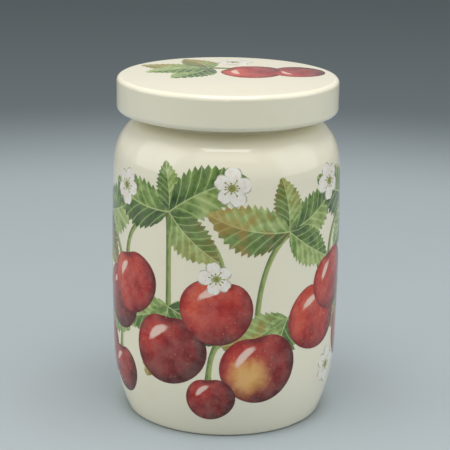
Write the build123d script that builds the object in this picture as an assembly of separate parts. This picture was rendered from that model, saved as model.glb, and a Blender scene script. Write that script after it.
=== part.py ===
from build123d import *
import os

# A round glazed ceramic jam jar with a thick disc lid that rests on its neck.
# Millimetres, +Z up. The origin is the middle of the foot, on the surface that the jar stands on.
# The jar is shut and can't be seen into, so the jar and its lid are each solid.

# Wall, which swells a little between the heel and the shoulder
wall_radius = 42.0
wall_height = 70.7
belly = 0.6

# Heel, the long inward curve from the wall down to the foot
heel_height = 25.0
heel_inset = 5.7
foot_edge_round = 1.8

# Foot ring, which stands proud of the recessed underside
foot_ring_width = 4.0
foot_recess = 1.2
foot_recess_round = 0.6

# Shoulder, a quarter turn from the wall to the neck
shoulder_height = 15.8
shoulder_width = 11.4
shoulder_fullness = 0.55

# Neck, a short collar that holds the lid clear of the shoulder
neck_height = 2.9
neck_foot_round = 0.8

# Lid, a little narrower than the wall, with a top that rises slightly to its middle
lid_thickness = 13.1
lid_inset = 1.1
lid_crown = 0.4
lid_top_round = 1.7
lid_bottom_round = 1.9

wall_start = heel_height
wall_end = wall_start + wall_height
shoulder_top = wall_end + shoulder_height
seat_height = shoulder_top + neck_height
lid_top = seat_height + lid_thickness
foot_radius = wall_radius - heel_inset
recess_radius = foot_radius - foot_ring_width
neck_radius = wall_radius - shoulder_width
lid_radius = wall_radius - lid_inset


def rounded(outline, radius, height, size):
    """An outline with its corner nearest to a radius and a height rounded."""
    nearest = outline.vertices().sort_by_distance((radius, height, 0))[0]
    return fillet(nearest, size)


def turned(outline):
    """The solid that an outline of radius and height makes round the jar's axis."""
    return revolve(Plane.XZ * outline, Axis.Z)


def shoulder_curve(wall):
    """A curve that leaves the wall along its direction and comes in level at the neck."""
    start = wall @ 1
    end = Vector(neck_radius, shoulder_top)
    leaving = start + (wall % 1) * shoulder_height * shoulder_fullness
    arriving = end + Vector(shoulder_width * shoulder_fullness, 0)
    return Bezier(start, leaving, arriving, end)


def make_jar():
    wall = ThreePointArc(
        (wall_radius, wall_start),
        (wall_radius + belly, (wall_start + wall_end) / 2),
        (wall_radius, wall_end),
    )
    heel = TangentArc((wall_radius, wall_start), (foot_radius, 0), tangent=-(wall % 0))
    shoulder = shoulder_curve(wall)
    neck_and_middle = Polyline(
        (neck_radius, shoulder_top),
        (neck_radius, seat_height),
        (0, seat_height),
        (0, foot_recess),
    )
    underside = Polyline(
        (0, foot_recess),
        (recess_radius, foot_recess),
        (recess_radius, 0),
        (foot_radius, 0),
    )
    outline = make_face(wall + heel + shoulder + neck_and_middle + underside)
    outline = rounded(outline, foot_radius, 0, foot_edge_round)
    outline = rounded(outline, recess_radius, 0, foot_recess_round)
    outline = rounded(outline, neck_radius, shoulder_top, neck_foot_round)
    return turned(outline)


def make_lid():
    crown = TangentArc((0, lid_top), (lid_radius, lid_top - lid_crown), tangent=(1, 0))
    sides = Polyline(
        (lid_radius, lid_top - lid_crown),
        (lid_radius, seat_height),
        (0, seat_height),
        (0, lid_top),
    )
    outline = make_face(crown + sides)
    outline = rounded(outline, lid_radius, lid_top - lid_crown, lid_top_round)
    outline = rounded(outline, lid_radius, seat_height, lid_bottom_round)
    return turned(outline)


os.makedirs("parts", exist_ok=True)
export_step(make_jar(), "parts/jar.step")
export_step(make_lid(), "parts/lid.step")
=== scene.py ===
import math

import bpy
import numpy as np
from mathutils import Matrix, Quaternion, Vector
from mathutils.geometry import delaunay_2d_cdt


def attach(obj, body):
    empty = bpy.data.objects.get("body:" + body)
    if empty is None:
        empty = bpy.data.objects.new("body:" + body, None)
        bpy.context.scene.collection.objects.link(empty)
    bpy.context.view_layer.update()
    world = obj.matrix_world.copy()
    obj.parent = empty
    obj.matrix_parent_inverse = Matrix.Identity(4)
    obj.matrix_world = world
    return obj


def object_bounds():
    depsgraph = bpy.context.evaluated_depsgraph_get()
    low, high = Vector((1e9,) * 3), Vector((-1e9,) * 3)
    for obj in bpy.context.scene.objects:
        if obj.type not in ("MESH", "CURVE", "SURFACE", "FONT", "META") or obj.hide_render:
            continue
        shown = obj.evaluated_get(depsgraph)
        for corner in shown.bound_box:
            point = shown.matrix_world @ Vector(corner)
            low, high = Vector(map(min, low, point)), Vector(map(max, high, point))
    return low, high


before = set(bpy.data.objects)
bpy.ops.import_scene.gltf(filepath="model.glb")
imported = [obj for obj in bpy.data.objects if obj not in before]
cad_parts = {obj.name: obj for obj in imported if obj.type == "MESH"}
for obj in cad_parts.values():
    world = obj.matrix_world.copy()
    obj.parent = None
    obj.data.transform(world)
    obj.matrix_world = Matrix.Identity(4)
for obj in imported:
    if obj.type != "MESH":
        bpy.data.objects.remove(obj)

mm = 0.001
cadLow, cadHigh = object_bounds()
jarNode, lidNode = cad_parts["jar"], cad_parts["lid"]
print("frame loaded")


class Wire:
    # one output of a node, so that maths on it can be written as an expression
    def __init__(self, net, socket):
        self.net, self.socket = net, socket

    def __add__(self, other):
        return self.net.maths("ADD", self, other)

    def __radd__(self, other):
        return self.net.maths("ADD", other, self)

    def __sub__(self, other):
        return self.net.maths("SUBTRACT", self, other)

    def __rsub__(self, other):
        return self.net.maths("SUBTRACT", other, self)

    def __mul__(self, other):
        return self.net.maths("MULTIPLY", self, other)

    def __rmul__(self, other):
        return self.net.maths("MULTIPLY", other, self)

    def __truediv__(self, other):
        return self.net.maths("DIVIDE", self, other)

    def __rtruediv__(self, other):
        return self.net.maths("DIVIDE", other, self)

    def __pow__(self, other):
        return self.net.maths("POWER", self, other)

    def __abs__(self):
        return self.net.maths("ABSOLUTE", self)


class Net:
    # the node tree of one material or of the world
    def __init__(self, owner):
        self.owner = owner
        owner.use_nodes = True
        self.tree = owner.node_tree
        self.tree.nodes.clear()

    def add(self, kind, settings=None, inputs=None, output=0):
        # settings first, as some of them change the sockets; then the values or links of its sockets
        made = self.tree.nodes.new(kind)
        for key, value in (settings or {}).items():
            if key == "stops":
                self.setStops(made.color_ramp, value)
            else:
                setattr(made, key, value)
        for key, value in (inputs or {}).items():
            if isinstance(value, Wire):
                self.tree.links.new(value.socket, made.inputs[key])
            else:
                made.inputs[key].default_value = value
        return Wire(self, made.outputs[output]) if made.outputs else made

    def setStops(self, ramp, stops):
        while len(ramp.elements) < len(stops):
            ramp.elements.new(0.5)
        for element, (place, colour) in zip(ramp.elements, stops):
            element.position, element.color = place, colour

    def maths(self, operation, a, b=0.0, c=0.0):
        return self.add("ShaderNodeMath", {"operation": operation}, {0: a, 1: b, 2: c})

    def least(self, a, b):
        return self.maths("MINIMUM", a, b)

    def most(self, a, b):
        return self.maths("MAXIMUM", a, b)

    def root(self, a):
        return self.maths("SQRT", self.most(a, 0.0))

    def part(self, a):
        return self.maths("FRACT", a)

    def rise(self, value, low, high):
        # 0 at low and 1 at high, smooth between; it falls where low is above high
        if low > high:
            return 1 - self.rise(value, high, low)
        inputs = {"Value": value, "From Min": low, "From Max": high}
        return self.add("ShaderNodeMapRange", {"interpolation_type": "SMOOTHSTEP"}, inputs)

    def mix(self, factor, a, b, mode="MIX"):
        settings = {"data_type": "RGBA", "blend_type": mode}
        return self.add("ShaderNodeMix", settings, {0: factor, 6: a, 7: b}, 2)

    def ramp(self, value, stops):
        return self.add("ShaderNodeValToRGB", {"stops": stops}, {0: value})

    def split(self, vector):
        made = self.add("ShaderNodeSeparateXYZ", None, {0: vector}).socket.node
        return [Wire(self, made.outputs[i]) for i in range(3)]

    def join(self, x, y, z=0.0):
        return self.add("ShaderNodeCombineXYZ", None, {0: x, 1: y, 2: z})

    def map(self, name):
        return self.add("ShaderNodeUVMap", {"uv_map": name})

    def place(self):
        return self.add("ShaderNodeTexCoord", None, None, "Object")

    def noise(self, vector, scale, detail=3.0, rough=0.5):
        inputs = {"Vector": vector, "Scale": scale, "Detail": detail, "Roughness": rough}
        return self.add("ShaderNodeTexNoise", None, inputs)

    def cells(self, vector, scale):
        return self.add("ShaderNodeTexVoronoi", None, {"Vector": vector, "Scale": scale})

    def bump(self, height, strength, distance):
        inputs = {"Height": height, "Strength": strength, "Distance": distance}
        return self.add("ShaderNodeBump", None, inputs)

    def finish(self, inputs):
        shader = self.add("ShaderNodeBsdfPrincipled", None, inputs)
        self.add("ShaderNodeOutputMaterial", None, {"Surface": shader})
        return self.owner


def tint(red, green, blue):
    # a colour written as it looks on a screen, 0 to 255, as the linear colour that shaders take
    def linear(c):
        c = c / 255
        return c / 12.92 if c <= 0.04045 else ((c + 0.055) / 1.055) ** 2.4
    return (linear(red), linear(green), linear(blue), 1.0)


glaze = {
    "colour": tint(243, 236, 211), "thin": tint(230, 217, 186), "cool": tint(239, 234, 213),
    "ior": 1.5, "roughness": 0.03, "roughnessRange": 0.02,
    "waveSize": 26.0, "fineWaves": 6, "fineHeight": 0.06, "waveHeight": 0.14, "waveDepth": 0.001,
    "cloudSize": 18.0, "cloudEdge": (0.35, 0.7),
    "patchSize": 55.0, "patchEdge": (0.56, 0.8), "patchStrength": 0.25,
    "pitSize": 420.0, "pitEdge": (0.10, 0.04), "pitStrength": 0.35,
    "pitArea": 90.0, "pitAreaEdge": (0.62, 0.66),
}


def glossOver(net, colour):
    # every glazed surface, printed or not, has the same clear gloss and the same slow waves
    place = net.place()
    slow = net.noise(place, glaze["waveSize"], 1.0)
    fine = net.noise(place, glaze["waveSize"] * glaze["fineWaves"], 2.0)
    return net.finish({
        "Base Color": colour,
        "Roughness": glaze["roughness"] + fine * glaze["roughnessRange"],
        "IOR": glaze["ior"],
        "Normal": net.bump(slow + fine * glaze["fineHeight"], glaze["waveHeight"], glaze["waveDepth"]),
    })


def makeGlaze(name):
    net = Net(bpy.data.materials.new(name))
    place = net.place()
    cloud = net.rise(net.noise(place, glaze["cloudSize"], 3.0), *glaze["cloudEdge"])
    colour = net.mix(cloud, glaze["colour"], glaze["cool"])
    # thinner glaze shows warmer clay in slow patches and as a few faint pinpricks
    patch = net.rise(net.noise(place, glaze["patchSize"], 4.0, 0.6), *glaze["patchEdge"])
    colour = net.mix(patch * glaze["patchStrength"], colour, glaze["thin"])
    prick = net.rise(net.cells(place, glaze["pitSize"]), *glaze["pitEdge"])
    area = net.rise(net.noise(place, glaze["pitArea"], 1.0), *glaze["pitAreaEdge"])
    return glossOver(net, net.mix(prick * area * glaze["pitStrength"], colour, glaze["thin"]))


glazeMaterial = makeGlaze("creamGlaze")
for node in (jarNode, lidNode):
    node.data.materials[0] = glazeMaterial
print("glaze made")


wash = {
    # pools and grains as of thin colour dried on clay
    "poolSize": 1.6, "poolPale": (0.30, 0.72), "poolDark": (0.55, 0.28), "poolStrength": 0.5,
    "pale": 0.42, "grainSize": 14, "grain": 0.20, "cover": 0.35,
}


def onShape(net):
    # a shape's own coordinates, and the two numbers that set it apart from its kind
    x, y, _ = net.split(net.map("own"))
    seed, bend, _ = net.split(net.map("tone"))
    return x, y, seed, bend


def scattered(net, x, y, size, seed, apart):
    # a place in the noise that is another one for each seed
    return net.join(x * size + seed * apart[0], y * size, seed * apart[1])


def washed(net, colour, x, y, seed, strength):
    pool = net.noise(scattered(net, x, y, wash["poolSize"], seed, (31, 17)), 1.5, 4.0, 0.62)
    grain = net.noise(scattered(net, x, y, wash["grainSize"], seed, (53, 5)), 1.0, 3.0, 0.7)
    pale = net.rise(pool, *wash["poolPale"]) * wash["pale"] * strength
    pale = net.most(pale + (grain - 0.5) * wash["grain"] * strength, 0.0)
    twice = net.mix(1.0, colour, colour, "MULTIPLY")
    colour = net.mix(net.rise(pool, *wash["poolDark"]) * wash["poolStrength"] * strength, colour, twice)
    return net.mix(pale * wash["cover"], colour, glaze["colour"])


cherryPaint = {
    "dark": tint(86, 18, 26), "blush": tint(236, 186, 104), "glint": tint(248, 216, 200),
    "stops": [
        (0.12, tint(216, 86, 62)), (0.36, tint(188, 44, 38)),
        (0.64, tint(142, 26, 30)), (0.92, tint(86, 18, 26)),
    ],
    "toRight": 0.21, "toBottom": 0.20, "depth": 0.48, "blots": 0.75, "edge": 0.20,
    "ripeness": (3.7, 0.45, 0.42),
    "cheek": (-0.30, -0.20), "cheekEdge": (0.72, 0.12), "cheekStrength": 0.85,
    "hollow": 0.86, "hollowEdge": (0.46, 0.10), "hollowStrength": 0.75,
    "dotSize": 7, "dotEdge": (0.17, 0.07), "dotStrength": 0.42,
    "rimEdge": (0.90, 1.0), "rimStrength": 0.45,
    "glintTurn": (0.82, 0.57), "glintPlace": (-0.02, 0.55), "glintCurve": 0.5,
    "glintLong": 6.5, "glintThin": 60.0, "glintEdge": (1.0, 0.55), "glintStrength": 0.85,
}


def cherryMaterial():
    net = Net(bpy.data.materials.new("cherryPaint"))
    look = cherryPaint
    x, y, seed, _ = onShape(net)
    far = net.root(x * x + y * y)
    blot = net.noise(scattered(net, x, y, 1.3, seed, (41, 23)), 1.4, 4.0, 0.6)
    # the light comes from the upper left, so the colour deepens to the lower right
    depth = x * look["toRight"] - y * look["toBottom"] + look["depth"]
    depth = depth + (blot - 0.5) * look["blots"] + net.rise(far, 0.62, 1.0) * look["edge"]
    often, level, amount = look["ripeness"]
    depth = depth + (net.part(seed * often) - level) * amount  # some fruit is riper and darker than the rest
    colour = net.ramp(depth, look["stops"])
    # some of the fruit is half ripe, with a yellow cheek
    half = net.rise(net.part(seed * 7.31), 0.58, 0.66)
    cheekX, cheekY = x - look["cheek"][0], y - look["cheek"][1]
    cheek = net.root(cheekX * cheekX + cheekY * cheekY) + (blot - 0.5) * 0.7
    cheek = net.rise(cheek, *look["cheekEdge"]) * half * look["cheekStrength"]
    colour = net.mix(cheek, colour, look["blush"])
    colour = washed(net, colour, x, y, seed, 0.55)
    down = y - look["hollow"]
    hollow = net.root(x * x * 0.9 + down * down * 2.6)
    colour = net.mix(net.rise(hollow, *look["hollowEdge"]) * look["hollowStrength"], colour, look["dark"])
    # the fine pale dots in a cherry's skin
    dots = net.cells(scattered(net, x, y, look["dotSize"], seed, (61, 3)), 1.0)
    dots = net.rise(dots, *look["dotEdge"]) * net.rise(far, 0.95, 0.75)
    colour = net.mix(dots * look["dotStrength"], colour, look["blush"])
    rim = net.rise(far + (blot - 0.5) * 0.10, *look["rimEdge"])
    colour = net.mix(rim * look["rimStrength"], colour, look["dark"])
    # a curved glint, with its edge broken by the grain of the wash
    turnX, turnY = look["glintTurn"]
    slant = x * turnX + y * turnY
    glintX = slant - look["glintPlace"][0]
    glintY = y * turnX - x * turnY - look["glintPlace"][1] + slant * slant * look["glintCurve"]
    glint = net.root(glintX * glintX * look["glintLong"] + glintY * glintY * look["glintThin"])
    glint = net.rise(glint + (blot - 0.5) * 0.9, *look["glintEdge"])
    return glossOver(net, net.mix(glint * look["glintStrength"], colour, look["glint"]))


leafPaint = {
    "dark": tint(30, 54, 32), "vein": tint(198, 210, 146), "autumn": tint(196, 150, 74),
    "stops": [
        (0.10, tint(182, 200, 124)), (0.34, tint(122, 154, 74)),
        (0.62, tint(80, 114, 52)), (0.92, tint(30, 54, 32)),
    ],
    "depth": 0.26, "half": 0.32, "blots": 1.05, "foot": 0.14, "youth": (4.3, 0.5, 0.36),
    "veins": 7.5, "veinSlant": 1.25, "veinCurve": 1.5, "veinEdge": (0.80, 0.97), "veinStrength": 0.55,
    "betweenEdge": (0.75, 0.35), "betweenStrength": 0.22,
    "ribEdge": (0.012, 0.004), "ribStrength": 0.8, "autumnStrength": 0.55,
}


def leafMaterial():
    net = Net(bpy.data.materials.new("leafPaint"))
    look = leafPaint
    x, y, seed, bend = onShape(net)
    above = y - bend * 4 * x * (1 - x)  # distance from the curved midrib
    out = abs(above)
    blot = net.noise(scattered(net, x, y, 5, seed, (37, 11)), 1.2, 4.0, 0.6)
    depth = look["depth"] + net.rise(above, -0.006, 0.006) * look["half"]  # one half lies in shade
    depth = depth + (blot - 0.5) * look["blots"] + net.rise(x, 0.55, 0.0) * look["foot"]
    often, level, amount = look["youth"]
    depth = depth + (net.part(seed * often) - level) * amount  # young leaves are paler
    colour = net.ramp(depth, look["stops"])
    # side veins leave the midrib at a slant and curve to the tip
    slant = x - out * look["veinSlant"] + above * above * look["veinCurve"]
    between = abs(net.part(slant * look["veins"] + seed) - 0.5) * 2
    shade = net.rise(between, *look["betweenEdge"]) * look["betweenStrength"]
    colour = net.mix(shade, colour, look["dark"])
    colour = washed(net, colour, x * 3, y * 3, seed, 0.6)
    colour = net.mix(net.rise(between, *look["veinEdge"]) * look["veinStrength"], colour, look["vein"])
    colour = net.mix(net.rise(out, *look["ribEdge"]) * look["ribStrength"], colour, look["vein"])
    # one leaf in three has started to turn
    turning = net.rise(net.part(seed * 5.17), 0.66, 0.72) * net.rise(blot + x * 0.3, 0.56, 0.80)
    return glossOver(net, net.mix(turning * look["autumnStrength"], colour, look["autumn"]))


stalkPaint = {
    "pale": tint(160, 176, 102), "dark": tint(104, 122, 62), "end": tint(120, 84, 48),
    "streakSize": (14, 0.8), "shadeEdge": (-0.7, 0.5), "endStrength": 0.5,
}


def stalkMaterial():
    net = Net(bpy.data.materials.new("stalkPaint"))
    look = stalkPaint
    along, across, seed, _ = onShape(net)
    long, wide = look["streakSize"]
    streak = net.noise(net.join(along * long + seed * 9, across * wide, seed), 1.0, 3.0)
    shade = net.rise(across + (streak - 0.5) * 1.6, *look["shadeEdge"])
    colour = net.mix(shade, look["dark"], look["pale"])
    ends = net.least(net.rise(along, 0.12, 0.0) + net.rise(along, 0.92, 1.0), 1.0)
    colour = net.mix(ends * look["endStrength"], colour, look["end"])
    return glossOver(net, washed(net, colour, along * 6, across, seed, 0.4))


petalPaint = {
    "pale": tint(247, 243, 232), "blush": tint(238, 214, 200), "foot": tint(182, 200, 124),
    "shade": tint(190, 196, 176), "outline": tint(132, 140, 112),
    "blushEdge": (0.44, 0.74), "lines": 9.0, "lineStrength": 0.5,
    "footEdge": (0.34, 0.12), "footStrength": 0.6, "shadeEdge": (0.84, 0.98), "shadeStrength": 0.75,
    "outlineEdge": (0.93, 1.04), "outlineStrength": 0.65,
}


def petalMaterial():
    net = Net(bpy.data.materials.new("petalPaint"))
    look = petalPaint
    x, y, seed, _ = onShape(net)
    blot = net.noise(scattered(net, x, y, 3, seed, (29, 13)), 1.3, 4.0, 0.6)
    along, across = (x - flower["petalMiddle"]) / flower["petalLong"], y / flower["petalWide"]
    edge = net.root(along * along + across * across) + (blot - 0.5) * 0.22
    lines = abs(net.part(y / (x + 0.25) * look["lines"] + blot * 0.6) - 0.5)
    lines = net.rise(lines, 0.40, 0.5) * net.rise(x, 0.95, 0.3)
    colour = net.mix(net.rise(blot, *look["blushEdge"]) * 0.8, look["pale"], look["blush"])
    colour = net.mix(lines * look["lineStrength"], colour, look["shade"])
    colour = net.mix(net.rise(x, *look["footEdge"]) * look["footStrength"], colour, look["foot"])
    colour = net.mix(net.rise(edge, *look["shadeEdge"]) * look["shadeStrength"], colour, look["shade"])
    outline = net.rise(edge, *look["outlineEdge"]) * look["outlineStrength"]
    return glossOver(net, net.mix(outline, colour, look["outline"]))


heartPaint = {
    "pale": tint(190, 172, 70), "dark": tint(128, 116, 44), "dotEdge": (0.42, 0.6), "rimStrength": 0.7,
}


def heartMaterial():
    net = Net(bpy.data.materials.new("heartPaint"))
    look = heartPaint
    x, y, seed, _ = onShape(net)
    dots = net.noise(scattered(net, x, y, 4, seed, (19, 1)), 1.5, 3.0, 0.6)
    colour = net.mix(net.rise(dots, *look["dotEdge"]), look["pale"], look["dark"])
    rim = net.rise(net.root(x * x + y * y), 0.7, 1.0)
    return glossOver(net, net.mix(rim * look["rimStrength"], colour, look["dark"]))


# the shapes of the print are drawn flat on an unrolled sheet, each in its own coordinates, 1 across or long
cherry = {
    "points": 44, "cleft": 0.12, "cleftWidth": 0.34, "wide": 1.04, "high": 0.97,
    "uneven": 0.018, "stem": 0.80,
}
leaf = {
    "teeth": 13, "tooth": 0.10, "toTip": 0.018, "toFoot": -0.006, "tip": 1.02,
    "halfWidth": 0.285, "lean": 0.86, "full": 0.75,
}
stalk = {"step": 1.4, "halfWidth": 0.95, "flare": 0.8, "arch": (1.15, 0.18)}
flower = {
    "petals": 5, "petalPoints": 16, "petalMiddle": 0.56, "petalLong": 0.46, "petalWide": 0.40, "broad": 0.22,
    "notch": 0.10, "notchWidth": 0.4, "heart": 0.17, "ringPoints": 14,
    "stamens": 11, "stamenReach": 0.34, "stamenHalf": 0.11, "dot": 0.34,
}

paints = {
    "cherry": cherryMaterial(), "leaf": leafMaterial(), "stalk": stalkMaterial(),
    "petal": petalMaterial(), "heart": heartMaterial(),
}
print("paints made")


def makePiece(name, spots, faces):
    mesh = bpy.data.meshes.new(name)
    mesh.from_pydata(spots, [], faces)
    piece = bpy.data.objects.new(name, mesh)
    bpy.context.scene.collection.objects.link(piece)
    return piece


class Motif:
    # one painted shape: its outline on the sheet, and how sheet points turn into its own coordinates
    def __init__(self, kind, outline, own, seed, bend=0.0):
        self.kind, self.outline, self.own = kind, np.array(outline), own
        self.tone = (seed, bend)


def placed(points, middle, turn, size):
    c, s = math.cos(turn), math.sin(turn)
    return np.array(points) @ np.array([[c, s], [-s, c]]) * size + np.array(middle)


def ownOf(middle, turn, size):
    # the way back from the sheet to a shape's own coordinates
    c, s = math.cos(turn), math.sin(turn)
    return lambda points: (np.array(points) - np.array(middle)) @ np.array([[c, -s], [s, c]]) / size


def cherryShape(middle, turn, size, seed):
    outline = []
    for i in range(cherry["points"]):
        a = 2 * math.pi * i / cherry["points"]
        off = abs((a - math.pi / 2 + math.pi) % (2 * math.pi) - math.pi)
        r = 1 - cherry["cleft"] * math.exp(-(off / cherry["cleftWidth"]) ** 2)
        r *= 1 + cherry["uneven"] * math.sin(3 * a + seed * 9)
        outline.append((cherry["wide"] * r * math.cos(a), cherry["high"] * r * math.sin(a)))
    return Motif("cherry", placed(outline, middle, turn, size), ownOf(middle, turn, size), seed)


def leafHalf(x):
    return leaf["halfWidth"] * math.sin(math.pi * x ** leaf["lean"]) ** leaf["full"]


def leafShape(start, turn, length, seed, bend):
    def rib(x):
        return bend * 4 * x * (1 - x)
    top, bottom = [], []
    for i in range(1, leaf["teeth"] * 2):
        x = i / (leaf["teeth"] * 2)
        out = leafHalf(x) * (1 + (leaf["tooth"] if i % 2 else -leaf["tooth"]))
        lean = leaf["toTip"] if i % 2 else leaf["toFoot"]  # the teeth point to the tip
        top.append((x + lean, rib(x) + out))
        bottom.append((x + lean, rib(x) - out))
    outline = [(0, 0.0)] + bottom + [(leaf["tip"], 0.0)] + top[::-1]
    return Motif("leaf", placed(outline, start, turn, length), ownOf(start, turn, length), seed, bend)


def stalkShape(start, middle, end, seed, half=None):
    half = half or stalk["halfWidth"]
    a, b, c = (np.array(p, float) for p in (start, middle, end))
    count = max(4, int((np.linalg.norm(b - a) + np.linalg.norm(c - b)) / stalk["step"]))
    u = np.linspace(0, 1, count)[:, None]
    line = (1 - u) ** 2 * a + 2 * (1 - u) * u * b + u ** 2 * c
    along = 2 * (1 - u) * (b - a) + 2 * u * (c - b)
    side = np.stack([-along[:, 1], along[:, 0]], 1) / np.linalg.norm(along, axis=1)[:, None]
    width = half * (1 + stalk["flare"] * ((1 - u) ** 6 + 0.5 * u ** 10))
    outline = np.concatenate([line - side * width, (line + side * width)[::-1]])

    def own(points):
        points = np.array(points)
        near = ((points[:, None] - line[None]) ** 2).sum(2).argmin(1)
        across = ((points - line[near]) * side[near]).sum(1) / width[near, 0]
        return np.stack([near / (count - 1), across], 1)
    return Motif("stalk", outline, own, seed)


def petalOutline():
    outline = []
    for i in range(flower["petalPoints"]):
        a = 2 * math.pi * i / flower["petalPoints"]
        fromTip = a if a < math.pi else a - 2 * math.pi
        tip = flower["notch"] * math.exp(-(fromTip / flower["notchWidth"]) ** 2)
        long = flower["petalMiddle"] + (flower["petalLong"] - tip) * math.cos(a)
        outline.append((long, flower["petalWide"] * math.sin(a) * (1 + flower["broad"] * math.cos(a))))
    return outline


def flowerShapes(middle, turn, size, seed):
    made = []

    def put(kind, outline, spot, lean, scale, tone):
        made.append(Motif(kind, placed(outline, spot, lean, scale), ownOf(spot, lean, scale), tone))

    for k in range(flower["petals"]):
        lean = turn + 2 * math.pi * k / flower["petals"] + 0.08 * math.sin(k * 2.3 + seed * 7)
        long = size * (0.94 + 0.08 * math.sin(k * 1.7 + seed * 5))
        put("petal", petalOutline(), middle, lean, long, seed + k * 0.17)
    ring = [2 * math.pi * i / flower["ringPoints"] for i in range(flower["ringPoints"])]
    disc = [(math.cos(a), math.sin(a)) for a in ring]
    put("heart", disc, middle, 0, size * flower["heart"], seed)
    for k in range(flower["stamens"]):
        a = 2 * math.pi * (k + 0.3 * math.sin(k * 5.1)) / flower["stamens"]
        far = size * (flower["stamenReach"] + 0.10 * math.sin(k * 3.7 + seed))
        spot = np.array(middle) + far * np.array([math.cos(a), math.sin(a)])
        made.append(stalkShape(middle, (np.array(middle) + spot) / 2, spot, seed, flower["stamenHalf"]))
        put("heart", disc[::2], spot, 0, flower["dot"], seed + 0.5)
    return made


def sprig(knot, flip, seed, fruit, leaves):
    # a knot that leaves spread from, with stalks that arch over and end in cherries
    knot = np.array(knot, float)
    stalks, heads, blades = [], [], []
    for i, (across, drop, size, tilt) in enumerate(fruit):
        end = knot + np.array([across * flip, -drop])
        arch = knot + np.array([across * flip * stalk["arch"][0], -drop * stalk["arch"][1]])
        top = end + size * cherry["stem"] * np.array([-math.sin(tilt * flip), math.cos(tilt * flip)])
        stalks.append(stalkShape(knot, arch, top, seed + i * 0.3))
        heads.append(cherryShape(end, tilt * flip, size, (seed + i * 0.37) % 1))
    for i, (turn, length, bend) in enumerate(leaves):
        turn = math.radians(turn if flip > 0 else 180 - turn)
        blades.append(leafShape(knot, turn, length, (seed + i * 0.23) % 1, bend * flip))
    return stalks + blades + heads


# how the print reads a CAD node: what share of the widest radius is still its outside, how many points
# lie between two rings, and from which radius and how deep, in millimetres, the lid's top is looked at
reading = {"outside": 0.8, "between": 12, "lidFrom": 10, "lidDepth": 1}


class Turned:
    # the outside of a turned CAD node: radius, height and surface direction by distance along its outline
    def __init__(self, node, lowest, highest, level):
        mesh = node.data
        points = np.array([v.co for v in mesh.vertices]) / mm
        facing = np.zeros((len(points), 3))
        corners = np.array([n.vector for n in mesh.corner_normals])
        owner = np.zeros(len(corners), int)
        mesh.loops.foreach_get("vertex_index", owner)
        np.add.at(facing, owner, corners)
        radius = np.hypot(points[:, 0], points[:, 1])
        keep = (points[:, 2] > lowest) & (points[:, 2] < highest)
        keep &= radius > reading["outside"] * radius[keep].max()
        outward = (facing[:, :2] * points[:, :2]).sum(1)[keep] / radius[keep]
        rings = np.stack([points[keep, 2], radius[keep], outward, facing[keep, 2]], 1)
        _, first = np.unique(np.round(rings[:, 0], 2), return_index=True)
        rings = rings[first]
        z, r = rings[:, 0], rings[:, 1]
        normal = rings[:, 2:] / np.linalg.norm(rings[:, 2:], axis=1)[:, None]
        fine = []
        for i in range(len(z) - 1):
            # a smooth curve between two rings that leaves and arrives square to their normals
            a, b = np.array([r[i], z[i]]), np.array([r[i + 1], z[i + 1]])
            chord = np.linalg.norm(b - a)
            leaving, arriving = (np.array([-n[1], n[0]]) * chord for n in (normal[i], normal[i + 1]))
            for u in np.linspace(0, 1, reading["between"], endpoint=False):
                near, leave = 2 * u ** 3 - 3 * u * u + 1, u ** 3 - 2 * u * u + u
                fine.append(near * a + leave * leaving + (1 - near) * b + (u ** 3 - u * u) * arriving)
        fine = np.array(fine)
        step = np.gradient(fine, axis=0)
        step /= np.linalg.norm(step, axis=1)[:, None]
        run = np.concatenate([[0], np.cumsum(np.linalg.norm(np.diff(fine, axis=0), axis=1))])
        # distance and height agree at this level
        self.run = run + level - np.interp(level, fine[:, 1], run)
        self.fine, self.out = fine, np.stack([step[:, 1], -step[:, 0]], 1)
        self.round = r.max()

    def point(self, sheet, proud):
        r, z = (np.interp(sheet[:, 1], self.run, self.fine[:, i]) for i in (0, 1))
        nr, nz = (np.interp(sheet[:, 1], self.run, self.out[:, i]) for i in (0, 1))
        angle = sheet[:, 0] / self.round  # 0 is the front
        r, z = r + nr * proud, z + nz * proud
        spot = np.stack([r * np.sin(angle), -r * np.cos(angle), z], 1)
        return spot, np.stack([nr * np.sin(angle), -nr * np.cos(angle), nz], 1)


class Level:
    # the lid's slightly crowned top
    def __init__(self, node):
        points = np.array([v.co for v in node.data.vertices]) / mm
        radius = np.hypot(points[:, 0], points[:, 1])
        self.top = points[:, 2].max()
        outer = (radius > reading["lidFrom"]) & (points[:, 2] > self.top - reading["lidDepth"])
        # the rounded edge falls faster than the crown, so the least fall is the crown's
        self.drop = ((self.top - points[outer, 2]) / radius[outer] ** 2).min()

    def point(self, sheet, proud):
        z = self.top - self.drop * (sheet ** 2).sum(1) + proud
        out = np.stack([2 * self.drop * sheet[:, 0], 2 * self.drop * sheet[:, 1], np.ones(len(sheet))], 1)
        return np.stack([sheet[:, 0], sheet[:, 1], z], 1), out / np.linalg.norm(out, axis=1)[:, None]


# millimetres: how far the print stands proud, how deep its edge goes, and the size of its triangles
printLook = {"proud": 0.045, "rooted": -0.02, "grid": 1.6, "closeness": 1e-5}
families = {
    # piece: the kinds of shape in it and a slot name
    "Fruit": (["cherry"], "red_print"),
    "Foliage": (["leaf", "stalk"], "green_print"),
    "Blossom": (["petal", "heart"], "pale_print"),
}


def shifted(motif, along):
    # the same shape further round the wall
    move = np.array([along, 0])

    def own(points):
        return motif.own(np.array(points) - move)
    return Motif(motif.kind, motif.outline + move, own, *motif.tone)


def onceRound(motifs, wrap):
    # a shape that crosses the seam at the back is also laid at the other end of the sheet
    made = []
    for motif in motifs:
        for along in (-wrap, 0.0, wrap):
            low, high = motif.outline[:, 0].min() + along, motif.outline[:, 0].max() + along
            if high > -wrap / 2 and low < wrap / 2:
                made.append(shifted(motif, along))
    return made


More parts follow.
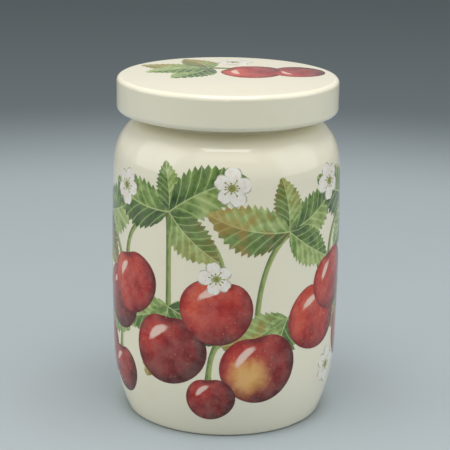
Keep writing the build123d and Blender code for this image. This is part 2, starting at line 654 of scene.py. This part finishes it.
def anticlockwise(outline):
    following = np.roll(outline, -1, axis=0)
    area = (outline[:, 0] * following[:, 1] - outline[:, 1] * following[:, 0]).sum()
    return outline.tolist() if area > 0 else outline[::-1].tolist()


def layPrint(name, motifs, surface, wrap, materials):
    # cuts all the shapes on the sheet into triangles, where a later shape covers an earlier one
    if wrap:
        motifs = onceRound(motifs, wrap)
    spots, faces, edges = [], [], []
    for motif in motifs:
        faces.append(list(range(len(spots), len(spots) + len(motif.outline))))
        spots.extend(anticlockwise(motif.outline))
    low, high = np.array(spots).min(0), np.array(spots).max(0)
    if wrap:
        low[0], high[0] = -wrap / 2, wrap / 2
        for side in (low[0], high[0]):
            # the seam at the back, in short steps so that it keeps to the curve
            steps = np.arange(low[1] - 1, high[1] + 1, printLook["grid"])
            edges += [(len(spots) + i, len(spots) + i + 1) for i in range(len(steps) - 1)]
            spots.extend([(side, y) for y in steps])
    across = np.arange(low[0], high[0], printLook["grid"])[1:]
    up = np.arange(low[1], high[1], printLook["grid"])
    grid = [(x + (i % 2) * printLook["grid"] / 2, y) for i, y in enumerate(up) for x in across[:-1]]
    points = [Vector(p) for p in spots + grid]
    cut = delaunay_2d_cdt(points, edges, faces, 1, printLook["closeness"], True)
    sheet = np.array([tuple(p) for p in cut[0]])
    for family, (kinds, slot) in families.items():
        mine = []
        for triangle, owners in zip(cut[2], cut[5]):
            if not owners or motifs[max(owners)].kind not in kinds:
                continue
            if wrap and abs(sheet[list(triangle), 0].mean()) > wrap / 2:
                continue
            mine.append((list(triangle), max(owners)))
        if mine:
            makePrint(name + family, sheet, mine, motifs, surface, slot, kinds, materials)


def makePrint(name, sheet, mine, motifs, surface, slot, kinds, materials):
    used = sorted({v for triangle, _ in mine for v in triangle})
    number = {v: i for i, v in enumerate(used)}
    flat = sheet[used]
    upper, facing = surface.point(flat, printLook["proud"])
    lower, _ = surface.point(flat, printLook["rooted"])
    corners, owner = [], []
    borders = {}
    for triangle, shape in mine:
        t = [number[v] for v in triangle]
        corners.append(t)
        owner.append(shape)
        for a, b in zip(t, t[1:] + t[:1]):
            if borders.pop((b, a), None) is None:
                borders[a, b] = shape
    count = len(used)
    for (a, b), shape in borders.items():
        # the thin edge of the print, down into the glaze
        corners.append([b, a, a + count, b + count])
        owner.append(shape)
    piece = makePiece(name, (np.concatenate([upper, lower]) * mm).tolist(), corners)
    mesh = piece.data
    own, tone = mesh.uv_layers.new(name="own"), mesh.uv_layers.new(name="tone")
    both = np.concatenate([flat, flat])
    vertex = np.array([v for face in corners for v in face])
    shape = np.array([s for face, s in zip(corners, owner) for _ in face])
    ownAt, toneAt = np.zeros((len(vertex), 2)), np.zeros((len(vertex), 2))
    for s in set(owner):
        these = shape == s
        ownAt[these] = motifs[s].own(both[vertex[these]])
        toneAt[these] = motifs[s].tone
    own.data.foreach_set("uv", ownAt.ravel())
    tone.data.foreach_set("uv", toneAt.ravel())
    for kind in kinds:
        mesh.materials.append(materials[kind])
    mesh.polygons.foreach_set("material_index", [kinds.index(motifs[s].kind) for s in owner])
    mesh.polygons.foreach_set("use_smooth", [True] * len(corners))
    mesh.normals_split_custom_set(np.concatenate([facing, facing])[vertex].tolist())
    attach(piece, "root")
    print(name, "has", len(corners), "faces")


wallLayout = {
    # each sprig: place of its knot round the wall and up it, which way it leans, seed, fruit, leaves
    # fruit: across, drop, radius, tilt; leaves: direction in degrees, length, bend
    "sprigs": [
        (-110, 83, 1, 0.11, "pair", "three"), (-66, 77, -1, 0.47, "trio", "two"),
        (-21, 85, 1, 0.83, "trio", "three"), (24, 78, -1, 0.29, "pair", "four"),
        (67, 85, 1, 0.61, "trio", "two"), (111, 76, -1, 0.05, "pair", "three"),
    ],
    "fruit": {
        "pair": [(-14, 34, 13.2, 0.2), (11, 50, 14.0, -0.12)],
        "trio": [(-18, 29, 12.2, 0.28), (0, 51, 14.0, 0.0), (18, 35, 13.0, -0.24)],
    },
    "leaves": {
        "two": [(160, 31, 0.07), (28, 31, -0.06), (228, 25, 0.05)],
        "three": [(168, 31, 0.06), (98, 18, -0.05), (26, 31, 0.06), (318, 25, -0.05)],
        "four": [(152, 27, 0.05), (80, 20, 0.05), (14, 31, -0.07), (212, 24, 0.04)],
    },
    "blossoms": [
        # place round the wall and up it, turn, size
        (-88, 90, 0.3, 8.2), (-43, 91, 1.1, 7.4), (2, 95, 0.2, 7.6), (46, 93, 0.8, 8.0), (89, 90, 0.5, 7.6),
        (-91, 24, 0.9, 7.2), (-3, 62, 0.6, 6.8), (48, 22, 0.1, 7.6), (130, 62, 1.3, 7.2),
        (90, 22, 0.4, 7.0),
    ],
    "low": [
        # loose fruit and the leaves that show between the sprigs: knot, flip, seed, fruit, leaves
        ((-44, 40), 1, 0.71, [(-3, 20, 9.6, 0.1)], [(165, 20, 0.06), (38, 21, -0.05)]),
        ((-2, 38), -1, 0.19, [(3, 22, 9.0, -0.1)], [(172, 20, 0.05), (30, 20, 0.05)]),
        ((131, 38), -1, 0.67, [(2, 19, 9.4, 0.1)], [(155, 20, 0.05), (25, 21, -0.06)]),
        ((-66, 47), 1, 0.37, [], [(205, 26, 0.05), (338, 27, -0.05), (268, 24, 0.03)]),
        ((-21, 50), 1, 0.07, [], [(200, 23, 0.05), (345, 24, -0.05), (250, 30, 0.04)]),
        ((24, 46), -1, 0.53, [], [(196, 25, 0.06), (340, 26, -0.05), (285, 26, 0.04)]),
        ((67, 50), 1, 0.91, [], [(208, 25, 0.06), (335, 26, 0.05), (262, 28, -0.04)]),
        ((111, 48), 1, 0.43, [], [(200, 24, 0.05), (342, 24, -0.05)]),
        ((-110, 52), -1, 0.59, [], [(205, 25, 0.05), (335, 25, -0.05), (270, 26, 0.04)]),
    ],
}

lidLayout = {
    "sprigs": [
        ((-7, 13), 1, 0.33, [(16, 7, 12.0, 1.1), (33, 5, 10.2, 1.4)],
         [(168, 26, 0.07), (116, 22, -0.05), (238, 25, 0.06), (203, 25, -0.06)]),
    ],
    "blossoms": [(2, 27, 0.3, 7.6, 0.4)],
}


layers = ["stalk", "leaf", "cherry"]
# heights in millimetres: the wall is read between two of them, and unrolled so that it is level at the third
printed = {"from": 1.5, "to": 111.0, "level": 60.0}


def arranged(sprigs, blossoms):
    # stalks first, then leaves and fruit, then blossoms, so that each covers the ones before it
    made = []
    for knot, flip, seed, fruit, leaves in sprigs:
        made += sprig(knot, flip, seed, fruit, leaves)
    made.sort(key=lambda motif: layers.index(motif.kind))
    for across, up, turn, size, seed in blossoms:
        made += flowerShapes((across, up), turn, size, seed)
    return made


def wallMotifs():
    fruits, leaves = wallLayout["fruit"], wallLayout["leaves"]
    sprigs = [((x, y), flip, seed, fruits[a], leaves[b]) for x, y, flip, seed, a, b in wallLayout["sprigs"]]
    blossoms = []
    for x, y, turn, size in wallLayout["blossoms"]:
        blossoms.append((x, y, turn, size, (x * 0.137 + y * 0.071) % 1))
    return arranged(sprigs + wallLayout["low"], blossoms)


wall = Turned(jarNode, printed["from"], printed["to"], printed["level"])
layPrint("wall", wallMotifs(), wall, 2 * math.pi * wall.round, paints)
layPrint("lid", arranged(lidLayout["sprigs"], lidLayout["blossoms"]), Level(lidNode), None, paints)
print("print laid")


clay = {
    "pale": tint(226, 212, 184), "brown": tint(196, 174, 140),
    "inner": 33.0, "outer": 35.0, "below": 0.03, "steps": 128,
    "gritSize": 900.0, "cloudSize": 60.0, "gritHeight": 0.4, "gritDepth": 0.0002,
}


def makeFootRing():
    # the bare clay of the ring that the jar stands on, where the glaze was wiped off
    steps, down = clay["steps"], -clay["below"] * mm
    turns = [2 * math.pi * i / steps for i in range(steps)]
    spots = []
    for radius in (clay["inner"] * mm, clay["outer"] * mm):
        spots += [(radius * math.cos(a), radius * math.sin(a), down) for a in turns]
    faces = [(i, (i + 1) % steps, steps + (i + 1) % steps, steps + i) for i in range(steps)]
    ring = makePiece("footRing", spots, faces)
    net = Net(bpy.data.materials.new("bareClay"))
    place = net.place()
    grit = net.noise(place, clay["gritSize"], 4.0, 0.7)
    cloud = net.noise(place, clay["cloudSize"], 3.0)
    ring.data.materials.append(net.finish({
        "Base Color": net.mix(net.rise(grit * 0.6 + cloud * 0.4, 0.38, 0.62), clay["pale"], clay["brown"]),
        "Roughness": 0.75 + grit * 0.2,
        "Normal": net.bump(grit, clay["gritHeight"], clay["gritDepth"]),
    }))
    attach(ring, "root")


makeFootRing()
print("foot ring made")


floorLook = {
    "near": tint(170, 179, 182), "cool": tint(162, 172, 176), "far": tint(112, 121, 124),
    "fadeStart": 0.33, "fadeEnd": 0.60, "size": 40.0,
    "mottleSize": 9.0, "mottle": 0.3, "roughness": 0.75, "shine": 0.1,
}


def makeFloor():
    half = floorLook["size"]
    corners = [(-half, -half, 0), (half, -half, 0), (half, half, 0), (-half, half, 0)]
    floor = makePiece("floor", corners, [(0, 1, 2, 3)])
    net = Net(bpy.data.materials.new("studioFloor"))
    place = net.place()
    x, y, _ = net.split(place)
    fade = net.rise(net.root(x * x + y * y), floorLook["fadeStart"], floorLook["fadeEnd"])
    mottle = net.noise(place, floorLook["mottleSize"], 2.0)
    pale = net.mix(mottle * floorLook["mottle"], floorLook["near"], floorLook["cool"])
    floor.data.materials.append(net.finish({
        "Base Color": net.mix(fade, pale, floorLook["far"]),
        "Roughness": floorLook["roughness"] + mottle * 0.1,
        "Specular IOR Level": floorLook["shine"],
    }))


studio = {"light": (0.93, 0.97, 1.0, 1.0), "strength": 0.32, "backdrop": tint(96, 106, 109)}


def makeWorld():
    world = bpy.data.worlds.new("studio")
    bpy.context.scene.world = world
    net = Net(world)
    direct = net.add("ShaderNodeLightPath", None, None, "Is Camera Ray")
    kind = "ShaderNodeBackground"
    light = net.add(kind, None, {"Color": studio["light"], "Strength": studio["strength"]})
    backdrop = net.add(kind, None, {"Color": studio["backdrop"], "Strength": 1.0})
    both = net.add("ShaderNodeMixShader", None, {0: direct, 1: light, 2: backdrop})
    net.add("ShaderNodeOutputWorld", None, {"Surface": both})


lamps = {
    # name: place, size across and deep, watts, colour; the overhead one points straight down
    "overhead": ((0.0, -0.17, 1.05), (0.70, 0.80), 7.8, (1.0, 0.99, 0.97)),
    "highFront": ((0.0, -0.80, 0.95), (1.2, 0.5), 1.9, (1.0, 0.99, 0.97)),
    "leftSide": ((-1.10, -0.20, 0.60), (1.1, 1.1), 5.0, (1.0, 0.99, 0.97)),
    "rightSide": ((1.10, -0.20, 0.60), (1.1, 1.1), 4.7, (0.98, 0.99, 1.0)),
}


def makeLamps():
    middle = (cadLow + cadHigh) / 2
    for name, (place, size, watts, colour) in lamps.items():
        lamp = bpy.data.lights.new(name, "AREA")
        lamp.shape, lamp.size, lamp.size_y = "RECTANGLE", size[0], size[1]
        lamp.energy, lamp.color = watts, colour
        holder = bpy.data.objects.new(name, lamp)
        holder.location = place
        away = Vector((0, 0, -1)) if name == "overhead" else middle - Vector(place)
        holder.rotation_mode = "QUATERNION"
        holder.rotation_quaternion = away.to_track_quat("-Z", "Y")
        bpy.context.scene.collection.objects.link(holder)


view = {
    "side": -0.0003, "back": 0.5943, "height": 0.2353,
    "down": 15.53, "roll": 0.87, "lens": 131.2, "sensor": 36.0,
}


def makeCamera():
    camera = bpy.data.cameras.new("camera")
    camera.lens, camera.sensor_width = view["lens"], view["sensor"]
    holder = bpy.data.objects.new("camera", camera)
    holder.location = (view["side"], -view["back"], view["height"])
    down = math.radians(view["down"])
    ahead = Vector((0, math.cos(down), -math.sin(down)))
    holder.rotation_mode = "QUATERNION"
    roll = Quaternion((0, 0, 1), math.radians(view["roll"]))
    holder.rotation_quaternion = ahead.to_track_quat("-Z", "Y") @ roll
    bpy.context.scene.collection.objects.link(holder)
    bpy.context.scene.camera = holder


makeFloor()
makeWorld()
makeLamps()
makeCamera()
bpy.context.scene.view_settings.view_transform = "Standard"
print("stage made")
